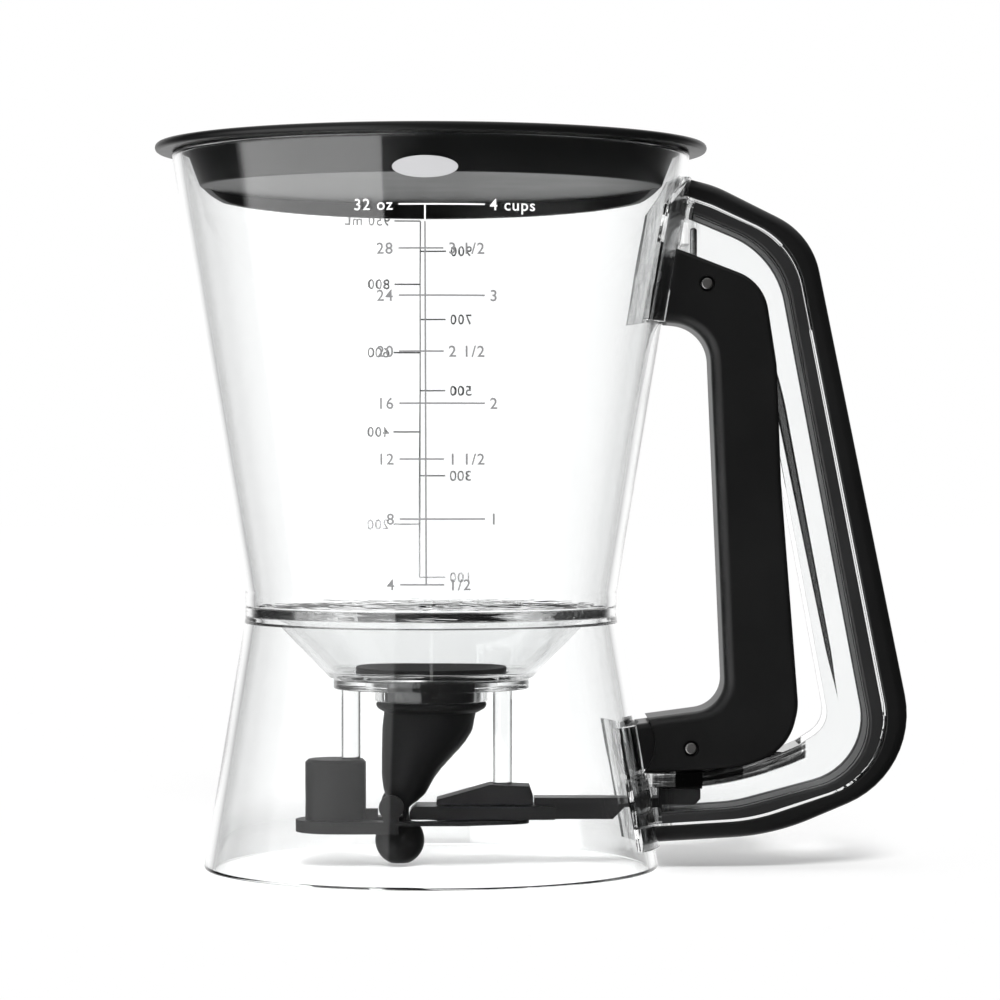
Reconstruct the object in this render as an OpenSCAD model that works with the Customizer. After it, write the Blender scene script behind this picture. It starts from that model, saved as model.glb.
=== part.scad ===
// Hand-held batter dispenser. A clear hopper stands on a clear skirt; a silicone valve hangs under
// it and is pinched shut by a pull bar. A trigger in the C-shaped handle draws the bar back.
// Z is up, the foot stands on z = 0, the jar's axis is x = y = 0 and the handle is on +X.

/* [Jar] */
// Outer radius of the foot that stands on the table
foot_r = 59; // [56:0.5:62]
// Outer radius of the straight band round the waist
waist_r = 48.2; // [46:0.1:50]
// Height at which the skirt meets the waist band
waist_z = 65; // [62:0.5:68]
// Height of the waist band
band_h = 6.3; // [5:0.1:7]
// Outer radius of the hopper at its rim
rim_r = 67.2; // [64:0.1:70]
// Height of the hopper's rim above the table
rim_z = 184.9; // [178:0.1:192]
// Wall thickness of the clear shells
wall = 2.5; // [2.1:0.1:2.8]
// Height of the skirt's socket for the bowl's flange
socket_h = 2.6; // [2.2:0.1:3]
// Width of the ledge that carries the bowl's flange
ledge_w = 2.6; // [2:0.1:3.2]

/* [Bowl] */
// Slope of the bowl's cone, in degrees from level
bowl_slope = 46; // [45.5:0.5:54]
// Depth of the bowl's floor below the waist
bowl_depth = 16; // [15:0.5:17]
// Radius of the flat disc under the bowl
floor_r = 25.4; // [24.6:0.2:26.4]
// Thickness of that disc
floor_t = 2.8; // [2.4:0.1:3.2]
// Outer radius of the collar round the outlet
collar_r = 14.6; // [14:0.1:15.4]
// How far the collar stands out below the disc
collar_h = 3.4; // [2.8:0.1:4.2]
// Diameter of the two posts that carry the valve plate
post_d = 4.9; // [4:0.1:5.4]
// Distance of the left post from the jar's axis
left_post_x = 20.9; // [20:0.1:21.8]
// Distance of the right post from the jar's axis
right_post_x = 18.5; // [17.6:0.1:19.2]

/* [Lid] */
// How far the lid's flange stands out over the hopper's rim
lid_brim = 4.3; // [3:0.1:6]
// Thickness of the lid's flange
lid_t = 2.2; // [1.8:0.1:2.8]
// Gap between the plug and the hopper's wall at the flange
plug_gap = 1.5; // [0.9:0.1:2.5]
// How far the plug narrows from the flange to its bottom
plug_taper = 3.4; // [2:0.1:5]
// Depth of the plug below the flange
plug_h = 9.1; // [7.5:0.1:11]
// Wall of the lid's recess
lid_wall = 2.2; // [1.8:0.1:2.8]
// How far the rear half of the plug's lip hangs down
lip_h = 4; // [2:0.1:6]

/* [Valve] */
// Radius of the flange that lies in the bowl
valve_flange_r = 19.6; // [18.6:0.1:20.4]
// Thickness of that flange
valve_flange_t = 4; // [3:0.1:4.6]
// Radius of the neck in the bowl's outlet
valve_neck_r = 11.5; // [11:0.1:12]
// Wall of the silicone
valve_wall = 1.6; // [1.2:0.1:2]
// Thickness of the tube where it is pinched flat
pinch_t = 1.8; // [1.4:0.1:2.2]
// Width of the tube where it is pinched flat
pinch_w = 13.4; // [12:0.2:13.8]
// Height of the pinched line above the table
pinch_z = 14.4; // [14.2:0.1:14.6]
// Where the tube's pinched right side lies
pinch_x = -5.8; // [-6.4:0.1:-5.2]
// Radius of the round end of the tube
bulb_r = 6.4; // [6:0.05:6.6]
// Radius of the hole in the round end
outlet_r = 2.2; // [1.8:0.1:2.8]

/* [Valve plate] */
// Width of the plate
plate_w = 22; // [21:0.5:24]
// Height of the plate's upper face
plate_z = 12.4; // [11.8:0.1:12.8]
// Thickness of the plate's round end
plate_t = 3.1; // [2.6:0.1:3.8]
// Thickness of the plate under the pull bar
tray_t = 1; // [0.8:0.1:1.6]
// Radius of the hub round the left post
hub_r = 7.9; // [7.2:0.1:8.6]
// Height of the hub's top
hub_z = 28; // [24:0.5:31]
// Radius of the bar that the valve is pinched against
anvil_r = 1.8; // [1.5:0.1:2]
// Top of the guide over the pull bar
guide_z = 21.6; // [21:0.1:23]
// Right end of the guide
guide_x = 26.4; // [25:0.2:27]
// Width of the guide
guide_w = 10.8; // [9.6:0.2:12]
// Length of the spine that ties the guide to the plate through the pull bar's slot
spine_l = 6; // [4:0.5:6.5]
// Width of that spine
spine_w = 3.2; // [2.4:0.2:4]

/* [Pull bar] */
// Width of the bar through the skirt
bar_w = 9; // [7:0.5:10]
// Height of the bar
bar_h = 5.5; // [5:0.1:5.6]
// Thickness of the blade that pinches the valve
blade_t = 3.4; // [3.2:0.1:3.6]
// Width of the blade
blade_w = 14.4; // [14:0.2:16]
// Right end of the blade's full width
blade_end = 32; // [30:0.5:34]
// Width of the block behind the skirt
block_w = 12; // [10:0.5:12.4]
// Height of the block's top above the table
block_z = 20.7; // [20:0.1:20.9]
// Width of the arm that the trigger pulls
arm_w = 8; // [6:0.5:9]
// Distance that the trigger draws the bar
stroke = 10; // [8:0.5:10.5]

/* [Handle] */
// Farthest reach of the handle's lower corner from the jar's axis
handle_reach = 126.2; // [122:0.1:130]
// How far the handle leans in from its lower to its upper corner
handle_lean = 28.1; // [24:0.1:30]
// Distance of the handle's upper end below the rim
handle_drop = 6.7; // [5:0.1:9]
// Width of the handle's grip
grip_w = 26; // [22:1:30]
// Distance between the outer faces of the two side plates
frame_w = 17.4; // [16:0.2:17.6]
// Thickness of each side plate
frame_t = 2.2; // [1.6:0.1:2.4]
// Thickness of the saddles that lie on the jar
saddle_t = 1.6; // [1.2:0.1:2.2]
// Half width of the upper saddle
upper_saddle_y = 26; // [20:1:30]
// Half width of the lower saddle
lower_saddle_y = 24; // [18:1:28]

/* [Trigger] */
// Distance of the trigger's pivot from the outside of the hopper
pivot_gap = 9.6; // [9:0.1:10.5]
// Distance of the pivot below the rim
pivot_drop = 33.9; // [32:0.1:36]
// Distance of the drive pin from the jar's axis
drive_x = 67; // [66:0.1:68]
// Height of the drive pin above the table
drive_z = 31.5; // [30.5:0.1:32.5]
// Radius of the two pins
pin_r = 1.45; // [1.2:0.05:1.7]
// Overall width of the trigger
trigger_w = 23.6; // [22:0.2:26]
// Thickness of the trigger's soft skin
skin_t = 1.4; // [1:0.1:1.6]
// Thickness of the trigger's inner shell
shell_t = 1.3; // [1:0.1:1.5]
// Gap between the trigger's back and the grip liner, low in the handle
hand_gap = 17.8; // [15:0.1:19]

/* [Spring] */
// Diameter of the spring's wire
wire_d = 1.8; // [1.2:0.1:2]
// Number of coils
coils = 3; // [2:1:3]
// Length of the spring's upper leg
upper_leg = 14; // [12:0.5:15.5]
// Length of the spring's lower leg
lower_leg = 22; // [16:1:26]

/* [Hidden] */
$fn = 96;

// Clearances
slip = 0.3; // between faces that move past each other
fit = 0.05; // round a piece that sits in its seat
run = 0.08; // round a pin that turns
past = 1; // how far a cut runs past the face it opens

// Heights of the jar
neck_z = waist_z + band_h;
lid_r = rim_r + lid_brim;
plug_top_r = rim_r - wall - plug_gap;
plug_low_r = plug_top_r - plug_taper;
seat_z = waist_z + 0.2 + socket_h; // the hopper stands on the skirt and on the bowl's flange here
ledge_z = seat_z - socket_h;
flange_r = waist_r - 0.64 * wall;
bowl_floor_z = waist_z - bowl_depth + 0.2;
disc_z = bowl_floor_z - floor_t;
collar_z = disc_z - collar_h;
bead_h = 2.8;
bead_z = collar_z - bead_h;

// The two posts end this far inside their sockets
hub_socket = 6;
guide_socket = 2.6;

// The valve is pinched between the anvil and the blade
anvil_x = pinch_x - pinch_t - slip - anvil_r;
anvil_boss_r = 3.2;
blade_x = pinch_x + slip;
bulb_x = pinch_x - 2.4;
bulb_z = 0.9;

// The bar slides between the plate and the guide, with the guide's spine in its slot
bar_z = plate_z + slip;
blade_z = bar_z + blade_t;
guide_low = blade_z + slip;
spine_x = right_post_x - spine_l / 2;

// Trigger
pivot_z = rim_z - pivot_drop;
pivot_x = round(10 * (hopper_r(pivot_z) + pivot_gap)) / 10;
core_w = trigger_w - 2 * skin_t;
core_in = core_w - 2 * shell_t;
finger_t = 1.2;
wall_t = 1.6; // the core's wall behind the skin
skin_end = 9.7; // the skin ends this far left of the drive pin
back_cut = 6; // the core is cut open this far past its back

// Handle: corners of its outermost and innermost line, each as x, z and bend radius
outer_line = [
    [50, 6.9, 0],
    [handle_reach - 37.9, 9.2, 60],
    [handle_reach, 25.2, 25],
    [handle_reach - handle_lean, rim_z - handle_drop - 14.5, 20],
    [handle_reach - handle_lean - 24.8, rim_z - handle_drop - 2.1, 30],
    [58, rim_z - handle_drop + 1.9, 0]
];
inner_line = [
    [50, 14.4, 0],
    [handle_reach - 47.1, 16.2, 40],
    [handle_reach - 10.9, 25.9, 17],
    [handle_reach - handle_lean - 8, rim_z - handle_drop - 18.8, 23],
    [handle_reach - handle_lean - 26.5, rim_z - handle_drop - 11, 20],
    [58, rim_z - handle_drop - 5.4, 0]
];
grip_share = 0.56; // share of the handle's thickness that is the grip
web_share = 0.64; // and where the clear web under it ends
tie_r = 0.9;

// Shelf between the side plates: an arc with its middle high in the handle
shelf_x = 60.7;
shelf_mid_z = 107.2;
shelf_r = 82.5;
shelf_t = 3.5;
shelf_end_x = handle_reach - 31.1;

// Colours
clear = [0.85, 0.88, 0.9, 0.35];
black = [0.07, 0.07, 0.07];
soft_black = [0.12, 0.12, 0.12];
steel = [0.55, 0.55, 0.52];

function unit(v) = v / norm(v);
function flat(p) = [p[0], p[1]];
function left_of(a, b) = let (u = unit(flat(b) - flat(a))) [-u[1], u[0]];
function turn(a, b, c) = sign(cross(flat(b) - flat(a), flat(c) - flat(b)));

// A line of corners moved d to its left, with its bend radii changed to suit
function moved(line, d) = [
    for (i = [0 : len(line) - 1])
        let (
            before = i > 0 ? left_of(line[i - 1], line[i]) : left_of(line[0], line[1]),
            after = i < len(line) - 1 ? left_of(line[i], line[i + 1]) : before,
            bend = i > 0 && i < len(line) - 1 ? turn(line[i - 1], line[i], line[i + 1]) : 0,
            shift = d * (before + after) / (1 + before * after)
        )
        [line[i][0] + shift[0], line[i][1] + shift[1], max(line[i][2] - bend * d, 0.5)]
];

// The line at share k of the way from line a to line b
function between(a, b, k) = [for (i = [0 : len(a) - 1]) a[i] * (1 - k) + b[i] * k];

// One corner b as an arc of radius r
function corner(a, b, c, r, steps) =
    let (
        u = unit(a - b),
        v = unit(c - b),
        half = acos(u * v) / 2,
        centre = b + unit(u + v) * r / sin(half),
        start = b + u * r / tan(half) - centre,
        end = b + v * r / tan(half) - centre,
        first = atan2(start[1], start[0]),
        sweep = (atan2(end[1], end[0]) - first + 540) % 360 - 180
    )
    [for (i = [0 : steps]) centre + r * [cos(first + sweep * i / steps), sin(first + sweep * i / steps)]];

// A line of corners as points, with each bend an arc
function bent(line, steps = 10) = concat(
    [flat(line[0])],
    [
        for (i = [1 : len(line) - 2])
            each corner(flat(line[i - 1]), flat(line[i]), flat(line[i + 1]), line[i][2], steps)
    ],
    [flat(line[len(line) - 1])]
);
function reversed(list) = [for (i = [len(list) - 1 : -1 : 0]) list[i]];

// Outer radius of the skirt and of the hopper at height z
function skirt_r(z) = foot_r + (waist_r - foot_r) * z / waist_z;
function hopper_r(z) = waist_r + (rim_r - waist_r) * (z - neck_z) / (rim_z - neck_z);

// A side outline in x and z, given thickness w and centred on the jar's middle plane
module sideways(w) {
    translate([0, w / 2, 0]) rotate([90, 0, 0]) linear_extrude(w) children();
}

// A pin or bore across the handle at x, z
module across(x, z, r, w) {
    translate([x, w / 2, z]) rotate([90, 0, 0]) cylinder(r = r, h = w, $fn = 48);
}

// Solid inside of the jar's outer surface, grown by gap
module jar_space(gap) {
    translate([0, 0, -past])
        cylinder(r1 = skirt_r(-past) + gap, r2 = skirt_r(waist_z) + gap, h = waist_z + past);
    translate([0, 0, waist_z]) cylinder(r = waist_r + gap, h = band_h);
    translate([0, 0, neck_z])
        cylinder(r1 = waist_r + gap, r2 = hopper_r(rim_z + past) + gap, h = rim_z + past - neck_z);
}

// Lid: a flange on a shallow plug with a recess in its top. The rear half of the plug has a lip.
module lid() {
    under = rim_z + slip;
    plug_z = under - plug_h;
    edge = lid_t / 2;
    color(black) {
        difference() {
            union() {
                translate([0, 0, under]) cylinder(r = lid_r - edge, h = lid_t);
                translate([0, 0, under + edge])
                    rotate_extrude() translate([lid_r - edge, 0]) circle(r = edge, $fn = 32);
                translate([0, 0, plug_z]) cylinder(r1 = plug_low_r, r2 = plug_top_r, h = plug_h);
            }
            translate([0, 0, plug_z + lid_wall])
                cylinder(
                    r1 = plug_low_r - lid_wall,
                    r2 = plug_top_r - lid_wall,
                    h = plug_h + lid_t - lid_wall + 0.01
                );
        }
        intersection() {
            translate([0, 0, plug_z - lip_h]) difference() {
                cylinder(r = plug_low_r, h = lip_h);
                translate([0, 0, -past]) cylinder(r = plug_low_r - lid_wall, h = lip_h + 2 * past);
            }
            translate([-lid_r, 0, 0]) rotate([90, 0, 90]) linear_extrude(2 * lid_r)
                polygon([
                    [1.5, plug_z],
                    [plug_low_r / 3, plug_z - 0.64 * lip_h],
                    [plug_low_r, plug_z - lip_h],
                    [plug_low_r + past, plug_z]
                ]);
        }
    }
}

// Hopper: the clear upper cone, with a straight neck that stands on the skirt
module hopper() {
    color(clear) rotate_extrude() polygon([
        [waist_r, seat_z],
        [waist_r, neck_z],
        [rim_r, rim_z],
        [rim_r - wall, rim_z],
        [waist_r - wall, neck_z],
        [waist_r - wall, seat_z]
    ]);
}

// Base skirt: the clear lower cone, with a ledge for the bowl and a window for the pull bar
module base_skirt() {
    ledge_low = ledge_z - 1.8;
    color(clear) difference() {
        rotate_extrude() polygon([
            [foot_r - wall, 0],
            [foot_r, 0],
            [waist_r, waist_z],
            [waist_r, seat_z],
            [flange_r + fit, seat_z],
            [flange_r + fit, ledge_z],
            [flange_r - ledge_w, ledge_z],
            [flange_r - ledge_w, ledge_low],
            [skirt_r(ledge_low) - wall, ledge_low]
        ]);
        bar_window();
    }
}

// The bar passes through the skirt and the lower saddle here
module bar_window() {
    translate([waist_r, -bar_w / 2 - 0.5, bar_z - slip])
        cube([foot_r + saddle_t + 2 - waist_r, bar_w + 1, bar_h + 2 * slip]);
}

// Bowl: the clear floor of the jar, with the valve's outlet and two posts for the valve plate
module bowl() {
    run_out = 1 / tan(bowl_slope);
    skin = 2.2;
    shift = skin / sin(bowl_slope);
    inner_floor = bowl_floor_z + 2;
    top_r = flange_r - ledge_w - 2.2;
    function outer_x(z) = top_r - (ledge_z - z) * run_out;
    outside = bent([
        [flange_r, ledge_z, 0],
        [top_r, ledge_z, 2],
        [outer_x(bowl_floor_z), bowl_floor_z, 1.5],
        [floor_r, bowl_floor_z, 0.5],
        [floor_r, disc_z, 0]
    ], 6);
    inside = bent([
        [valve_flange_r + 0.7, inner_floor, 0],
        [outer_x(inner_floor) - shift, inner_floor, 2],
        [outer_x(seat_z) - shift, seat_z, 0]
    ], 6);
    color(clear) {
        rotate_extrude() polygon(concat(
            outside,
            [
                [collar_r, disc_z],
                [collar_r, collar_z],
                [valve_neck_r + fit, collar_z],
                [valve_neck_r + fit, disc_z + 2.2],
                [valve_flange_r + 0.7, disc_z + 2.2]
            ],
            inside,
            [[flange_r, seat_z]]
        ));
        post(-left_post_x, hub_z - hub_socket);
        post(right_post_x, guide_z - guide_socket);
    }
}

module post(x, low_z) {
    translate([x, 0, low_z]) cylinder(d = post_d, h = disc_z + 0.5 - low_z, $fn = 48);
}

// Valve: one silicone moulding, with a flange in the bowl, a bead under the collar, a slanting
// bag, a neck pinched flat and a round end. Each row is height, left, right and half depth.
module valve() {
    drop = bead_z - pinch_z;
    flat_left = pinch_x - pinch_t;
    top_r = 0.66 * bulb_r;
    rows = [
        [bead_z, -12.3, 11.6, 11.9],
        [bead_z - 0.17 * drop, -12.7, 10.7, 11.7],
        [bead_z - 0.31 * drop, -12.8, 8.6, 11.2],
        [bead_z - 0.61 * drop, -12.9, 1.8, 9.8],
        [bead_z - 0.81 * drop, -12.1, -1.3, 8.4],
        [pinch_z + 3, pinch_x - 4.9, pinch_x + 2.6, 7.4],
        [pinch_z + 0.8, flat_left, pinch_x, pinch_w / 2],
        [pinch_z - 1.3, flat_left, pinch_x, pinch_w / 2],
        [bulb_top() - 0.8, bulb_x - top_r, bulb_x + top_r, top_r]
    ];
    inner_rows = [for (i = [0 : 3]) rows[i] + [0.1, valve_wall, -valve_wall, -valve_wall]];
    flange_z = disc_z + 2.2;
    color(black) {
        difference() {
            union() {
                translate([0, 0, flange_z]) cylinder(r = valve_flange_r, h = valve_flange_t);
                translate([0, 0, collar_z - 1.5]) cylinder(r = valve_neck_r, h = flange_z - collar_z + 2.5);
                translate([0, 0, bead_z - 0.1])
                    cylinder(r1 = 12.4, r2 = collar_r, h = collar_z - fit - bead_z + 0.1);
                sleeve(rows);
            }
            translate([0, 0, bead_z - 0.2])
                cylinder(r = valve_neck_r - valve_wall, h = flange_z + valve_flange_t - bead_z + past);
            translate([0, 0, flange_z + 1])
                cylinder(r1 = valve_neck_r - valve_wall, r2 = valve_flange_r - 1, h = valve_flange_t);
            sleeve(inner_rows);
        }
        translate([bulb_x, 0, 0]) rotate_extrude() polygon(bulb_outline());
    }
}

// A skin through the ellipses that the rows give, from the top down
module sleeve(rows) {
    n = 40;
    last = len(rows) - 1;
    polyhedron(
        points = [
            for (row = rows, i = [0 : n - 1]) [
                (row[1] + row[2] + (row[2] - row[1]) * cos(360 * i / n)) / 2,
                row[3] * sin(360 * i / n),
                row[0]
            ]
        ],
        faces = concat(
            [[for (i = [n - 1 : -1 : 0]) i], [for (i = [0 : n - 1]) last * n + i]],
            [
                for (k = [0 : last - 1], i = [0 : n - 1])
                    each let (a = k * n + i, b = k * n + (i + 1) % n) [[a, b, b + n], [a, b + n, a + n]]
            ]
        )
    );
}

// Half section of the round end, with a hole for the batter below
function bulb_mid() = bulb_z + sqrt(bulb_r * bulb_r - outlet_r * outlet_r);
function bulb_top() = bulb_mid() + 0.75 * bulb_r;
function bulb_outline() =
    let (low = -acos(outlet_r / bulb_r), high = asin(0.75))
    concat(
        [[outlet_r, bulb_mid()]],
        [for (i = [0 : 16]) let (a = low + (high - low) * i / 16) [bulb_r * cos(a), bulb_mid() + bulb_r * sin(a)]],
        [[0, bulb_top()], [0, bulb_mid()]]
    );

// Valve plate: a round-ended plate with the hub, the anvil and the guide for the pull bar
module carrier_plate() {
    end_x = -left_post_x - 3.4;
    end_r = plate_w / 2;
    hub_x = -left_post_x - 4;
    step_x = anvil_x + 1.5;
    boss_z = plate_z + anvil_boss_r + 0.5;
    color(soft_black) difference() {
        union() {
            translate([end_x, 0, plate_z - plate_t]) cylinder(r = end_r, h = plate_t);
            translate([end_x, -end_r, plate_z - plate_t]) cube([step_x - end_x, plate_w, plate_t]);
            translate([0, 0, plate_z - tray_t]) linear_extrude(tray_t) polygon(bent([
                [step_x - 1, -end_r, 0],
                [9, -end_r, 12],
                [guide_x - 1, -4.5, 6],
                [guide_x - 1, 4.5, 6],
                [9, end_r, 12],
                [step_x - 1, end_r, 0]
            ], 6));
            translate([hub_x, 0, plate_z - 0.1]) cylinder(r = hub_r, h = hub_z - 0.8 - plate_z + 0.1);
            translate([hub_x, 0, hub_z - 0.8]) cylinder(r1 = hub_r, r2 = hub_r - 0.8, h = 0.8);
            translate([hub_x + hub_r - 0.5, -1.5, plate_z - 0.1]) cube([3.6, 3, 2.7]);
            across(anvil_x, pinch_z, anvil_r, plate_w - 0.2);
            for (side = [-1, 1]) translate([anvil_x - 0.4, side * (end_r - 1), 0]) {
                across(0, boss_z, anvil_boss_r, 1.8);
                translate([-2, -0.9, plate_z - 0.1]) cube([4, 1.8, 1.5]);
            }
            guide();
        }
        tube_slot();
        translate([-left_post_x, 0, hub_z - hub_socket]) cylinder(d = post_d + 2 * fit, h = hub_socket + past, $fn = 48);
        translate([right_post_x, 0, guide_z - guide_socket])
            cylinder(d = post_d + 2 * fit, h = guide_socket + past, $fn = 48);
    }
}

// The tube hangs through this slot and swings to the right as it opens
module tube_slot() {
    r = bulb_r + 0.9;
    open_x = bulb_x + 0.5 * stroke;
    translate([bulb_x, 0, 0]) cylinder(r = r, h = plate_z + 0.05);
    translate([open_x, 0, 0]) cylinder(r = r, h = plate_z + 0.05);
    translate([bulb_x, -r, 0]) cube([open_x - bulb_x, 2 * r, plate_z + 0.05]);
}

// A sloping block over the blade, tied to the plate by a spine through the bar's slot
module guide() {
    front_x = 1.4;
    sideways(guide_w) polygon([
        [front_x, guide_low],
        [front_x, guide_z - 3.9],
        [front_x + 13.8, guide_z],
        [guide_x - 0.9, guide_z - 0.4],
        [guide_x, guide_z - 3],
        [guide_x, guide_low]
    ]);
    translate([spine_x, -spine_w / 2, plate_z - 0.1])
        cube([spine_l, spine_w, guide_low - plate_z + 0.2]);
}

// Pull bar: a wide blade under the guide, a bar through the skirt and a block with the arm
module pull_bar() {
    bar_top = bar_z + bar_h;
    bar_x = guide_x + slip;
    block_x = skirt_r(block_z) + saddle_t + 1.7;
    block_low = bar_z + 3.9;
    block_end = drive_x + 2.7;
    arm_half = pin_r + 1.8;
    color(black) difference() {
        union() {
            sideways(blade_w) polygon([
                [blade_x, pinch_z - 0.8],
                [blade_x, pinch_z + 0.3],
                [blade_x + 1.4, blade_z],
                [blade_end, blade_z],
                [blade_end, bar_z],
                [blade_x + 0.9, bar_z]
            ]);
            sideways(bar_w) polygon([
                [bar_x, bar_z],
                [block_x - 11.9, bar_z],
                [block_x - 8.8, bar_z + 3.1],
                [block_x + 1, bar_z + 3.1],
                [block_x + 1, bar_top],
                [bar_x, bar_top]
            ]);
            sideways(block_w) polygon([
                [block_x, block_low],
                [block_end - 1.5, block_low],
                [block_end, block_low + 1.5],
                [block_end, block_z],
                [block_x, block_z]
            ]);
            translate([drive_x - arm_half, -arm_w / 2, block_z - 0.1])
                cube([2 * arm_half, arm_w, drive_z - block_z + 0.1]);
            across(drive_x, drive_z, arm_half, arm_w);
        }
        translate([spine_x - stroke - 0.6, -spine_w / 2 - slip, bar_z - past])
            cube([spine_l + stroke + 0.9, spine_w + 2 * slip, blade_t + 2 * past]);
        for (dz = [-0.4, 0.4]) across(drive_x, drive_z + dz, pin_r + run, arm_w + 2);
        translate([drive_x - pin_r - run, -arm_w / 2 - past, drive_z - 0.4])
            cube([2 * (pin_r + run), arm_w + 2 * past, 0.8]);
    }
}

// A stretch of the handle between two shares of its thickness
module handle_band(low, high) {
    polygon(concat(
        bent(between(outer_line, inner_line, low)),
        reversed(bent(between(outer_line, inner_line, high)))
    ));
}

// Side view of the clear side plates, from the web to their free inner edge
module plate_outline() {
    lug_z = pivot_z - 5.4;
    shelf_at = function(x) shelf_mid_z - sqrt(shelf_r * shelf_r - (x - shelf_x) * (x - shelf_x));
    edge = bent([
        [50, lug_z, 0],
        [pivot_x + 3, lug_z, 5],
        [handle_reach - handle_lean - 11.6, pivot_z - 25, 20],
        [handle_reach - 23.2, 37.3, 7],
        [shelf_end_x, shelf_at(shelf_end_x), 0]
    ]);
    polygon(concat(
        bent(between(outer_line, inner_line, (grip_share + web_share) / 2)),
        edge,
        [for (i = [1 : 12]) let (x = shelf_end_x + (50 - shelf_end_x) * i / 12) [x, shelf_at(x)]]
    ));
}

// Handle frame: one clear moulding. A web carries the grip, two side plates hold the pivot pin and
// the shelf, and a saddle at each end lies on the jar.
module handle_frame() {
    inner_w = frame_w - 2 * frame_t;
    color(clear) difference() {
        union() {
            sideways(grip_w - 1) handle_band(grip_share, web_share);
            difference() {
                sideways(frame_w) plate_outline();
                sideways(inner_w) handle_space();
                liner_ties(tie_r + fit);
            }
            shelf(frame_w - 0.2);
            spring_stop(inner_w + 0.2);
            saddle([
                [-upper_saddle_y, pivot_z - 9.8],
                [-upper_saddle_y, rim_z - 14.4],
                [-grip_w / 2, rim_z - 6.6],
                [grip_w / 2, rim_z - 6.6],
                [upper_saddle_y, rim_z - 14.4],
                [upper_saddle_y, pivot_z - 9.8]
            ]);
            saddle([
                [-lower_saddle_y, 6],
                [-lower_saddle_y, 37.5],
                [lower_saddle_y, 37.5],
                [lower_saddle_y, 6]
            ]);
        }
        jar_space(fit);
        trigger_window(pivot_z - 12, pivot_z + 9.8);
        trigger_window(23.5, 40);
        bar_window();
        across(pivot_x, pivot_z, pin_r + fit / 2, frame_w + 2);
        shelf_slot();
    }
}

// The space between the side plates, from the web inwards
module handle_space() {
    polygon(concat(
        bent(between(outer_line, inner_line, web_share)),
        [[50, rim_z - handle_drop - 8], [50, 14]]
    ));
}

module shelf(w) {
    sideways(w) polygon(concat(
        [for (i = [0 : 12]) shelf_point(shelf_r, 50 + (shelf_end_x - 50) * i / 12)],
        [for (i = [12 : -1 : 0]) shelf_point(shelf_r + shelf_t, 50 + (shelf_end_x - 50) * i / 12)]
    ));
    across(shelf_end_x, shelf_point(shelf_r + shelf_t / 2, shelf_end_x)[1], shelf_t / 2, w);
}

function shelf_point(r, x) = [x, shelf_mid_z - sqrt(r * r - (x - shelf_x) * (x - shelf_x))];

// The arm of the pull bar moves in this slot
module shelf_slot() {
    half = pin_r + 1.8 + 0.5;
    translate([drive_x - half, -arm_w / 2 - 0.4, 19])
        cube([2 * half + stroke, arm_w + 0.8, 12]);
}

// A rib that the spring's upper leg leans on
module spring_stop(w) {
    stop_x = pivot_x - spring_r() - wire_d / 2 - slip;
    translate([stop_x - 5, -w / 2, pivot_z + upper_leg - 3.5]) cube([5, w, 6]);
}

// A saddle on the jar's outside, with the outline given in y and z
module saddle(outline) {
    intersection() {
        jar_space(saddle_t + fit);
        rotate([90, 0, 90]) linear_extrude(2 * rim_r) polygon(outline);
    }
}

// The trigger's two ends pass through the saddles here
module trigger_window(low, high) {
    half = trigger_w / 2 + 0.8;
    translate([0, -half, low]) difference() {
        cube([2 * rim_r, 2 * half, high - low]);
        translate([0, half - frame_w / 2, -past])
            cube([2 * rim_r, frame_w, high - low + 2 * past]);
    }
    translate([0, -half, low]) intersection() {
        cube([2 * rim_r, 2 * half, high - low]);
        translate([0, half, -low]) jar_space(saddle_t + fit + 0.01);
    }
}

// Handle grip: the soft black strip on the outside of the web
module handle_grip() {
    color(soft_black) difference() {
        sideways(grip_w) handle_band(0, grip_share);
        jar_space(saddle_t + 0.35);
    }
}

// Grip liner: three black strips on the inside of the web, held together by ties through the plates
module grip_liner() {
    color(soft_black) {
        difference() {
            sideways(grip_w) handle_band(web_share, 1);
            jar_space(saddle_t + 2.5);
            spring_stop(grip_w);
            for (side = [-1, 1])
                translate([0, side * (frame_w - frame_t) / 2, 0]) sideways(frame_t + 2 * fit) handle_space();
        }
        liner_ties(tie_r);
    }
}

// Pins of the liner's own material, down the middle of its long straight
module liner_ties(r) {
    middle = between(outer_line, inner_line, (web_share + 1) / 2);
    for (t = [0.25 : 0.2 : 0.85]) {
        spot = between([middle[2]], [middle[3]], t)[0];
        across(spot[0], spot[1], r, frame_w + 1);
    }
}

// The trigger's finger side, top to bottom, and its back, bottom to top
finger_line = [
    [50, pivot_z - 9.1, 0],
    [pivot_x + 0.6, pivot_z - 10.9, 10],
    [drive_x + 8.9, drive_z + 10.5, 8],
    [drive_x - 14, drive_z + 7.4, 0]
];
back_x = handle_reach - 13.7 - hand_gap;
back_line = [
    [drive_x - 14, drive_z - 6.6, 0],
    [back_x - 14.9, drive_z - 5, 22],
    [back_x - 2.7, drive_z - 0.7, 14],
    [back_x, drive_z + 10.5, 14],
    [back_x - 4.5, between_pins(0.573), 60],
    [back_x - 5.6, between_pins(0.824), 30],
    [back_x - 8.9, between_pins(1.003), 12],
    [50, between_pins(1.12), 0]
];

// Height at share k of the way from the drive pin to the pivot
function between_pins(k) = drive_z + k * (pivot_z - drive_z);

// Side view of the trigger, with its finger side and its back moved inwards
module trigger_outline(front, rear) {
    polygon(concat(bent(moved(finger_line, front)), bent(moved(back_line, rear))));
}

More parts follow.
